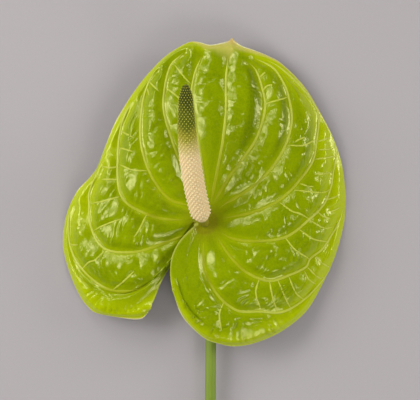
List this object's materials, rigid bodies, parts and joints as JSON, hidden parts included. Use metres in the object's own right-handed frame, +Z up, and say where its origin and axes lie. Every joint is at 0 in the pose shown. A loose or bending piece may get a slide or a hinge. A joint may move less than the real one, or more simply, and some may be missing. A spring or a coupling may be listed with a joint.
{
  "type": "anthurium cut flower",
  "caption": "Cut anthurium lying on its back: a glossy, quilted, heart-shaped green spathe, a floret-covered spadix shading from cream to dark green, and a long bare stem.",
  "frame": {"origin": "middle of the bottom face of the flower's bounding box, on the surface it lies on", "axes": "+Y along the stem towards the tip of the spathe, +X to the right of the flower's face, +Z up, the way the spathe faces"},
  "size_m": [0.1342, 0.4268, 0.0508],
  "materials": {
    "spathe": "glossy waxy cuticle",
    "spadix": "fine fleshy florets, satin",
    "stem": "smooth satin green skin"
  },
  "bodies": {
    "root": {"spathe": "spathe", "spadix": "spadix", "stem": "stem"}
  },
  "joints": []
}
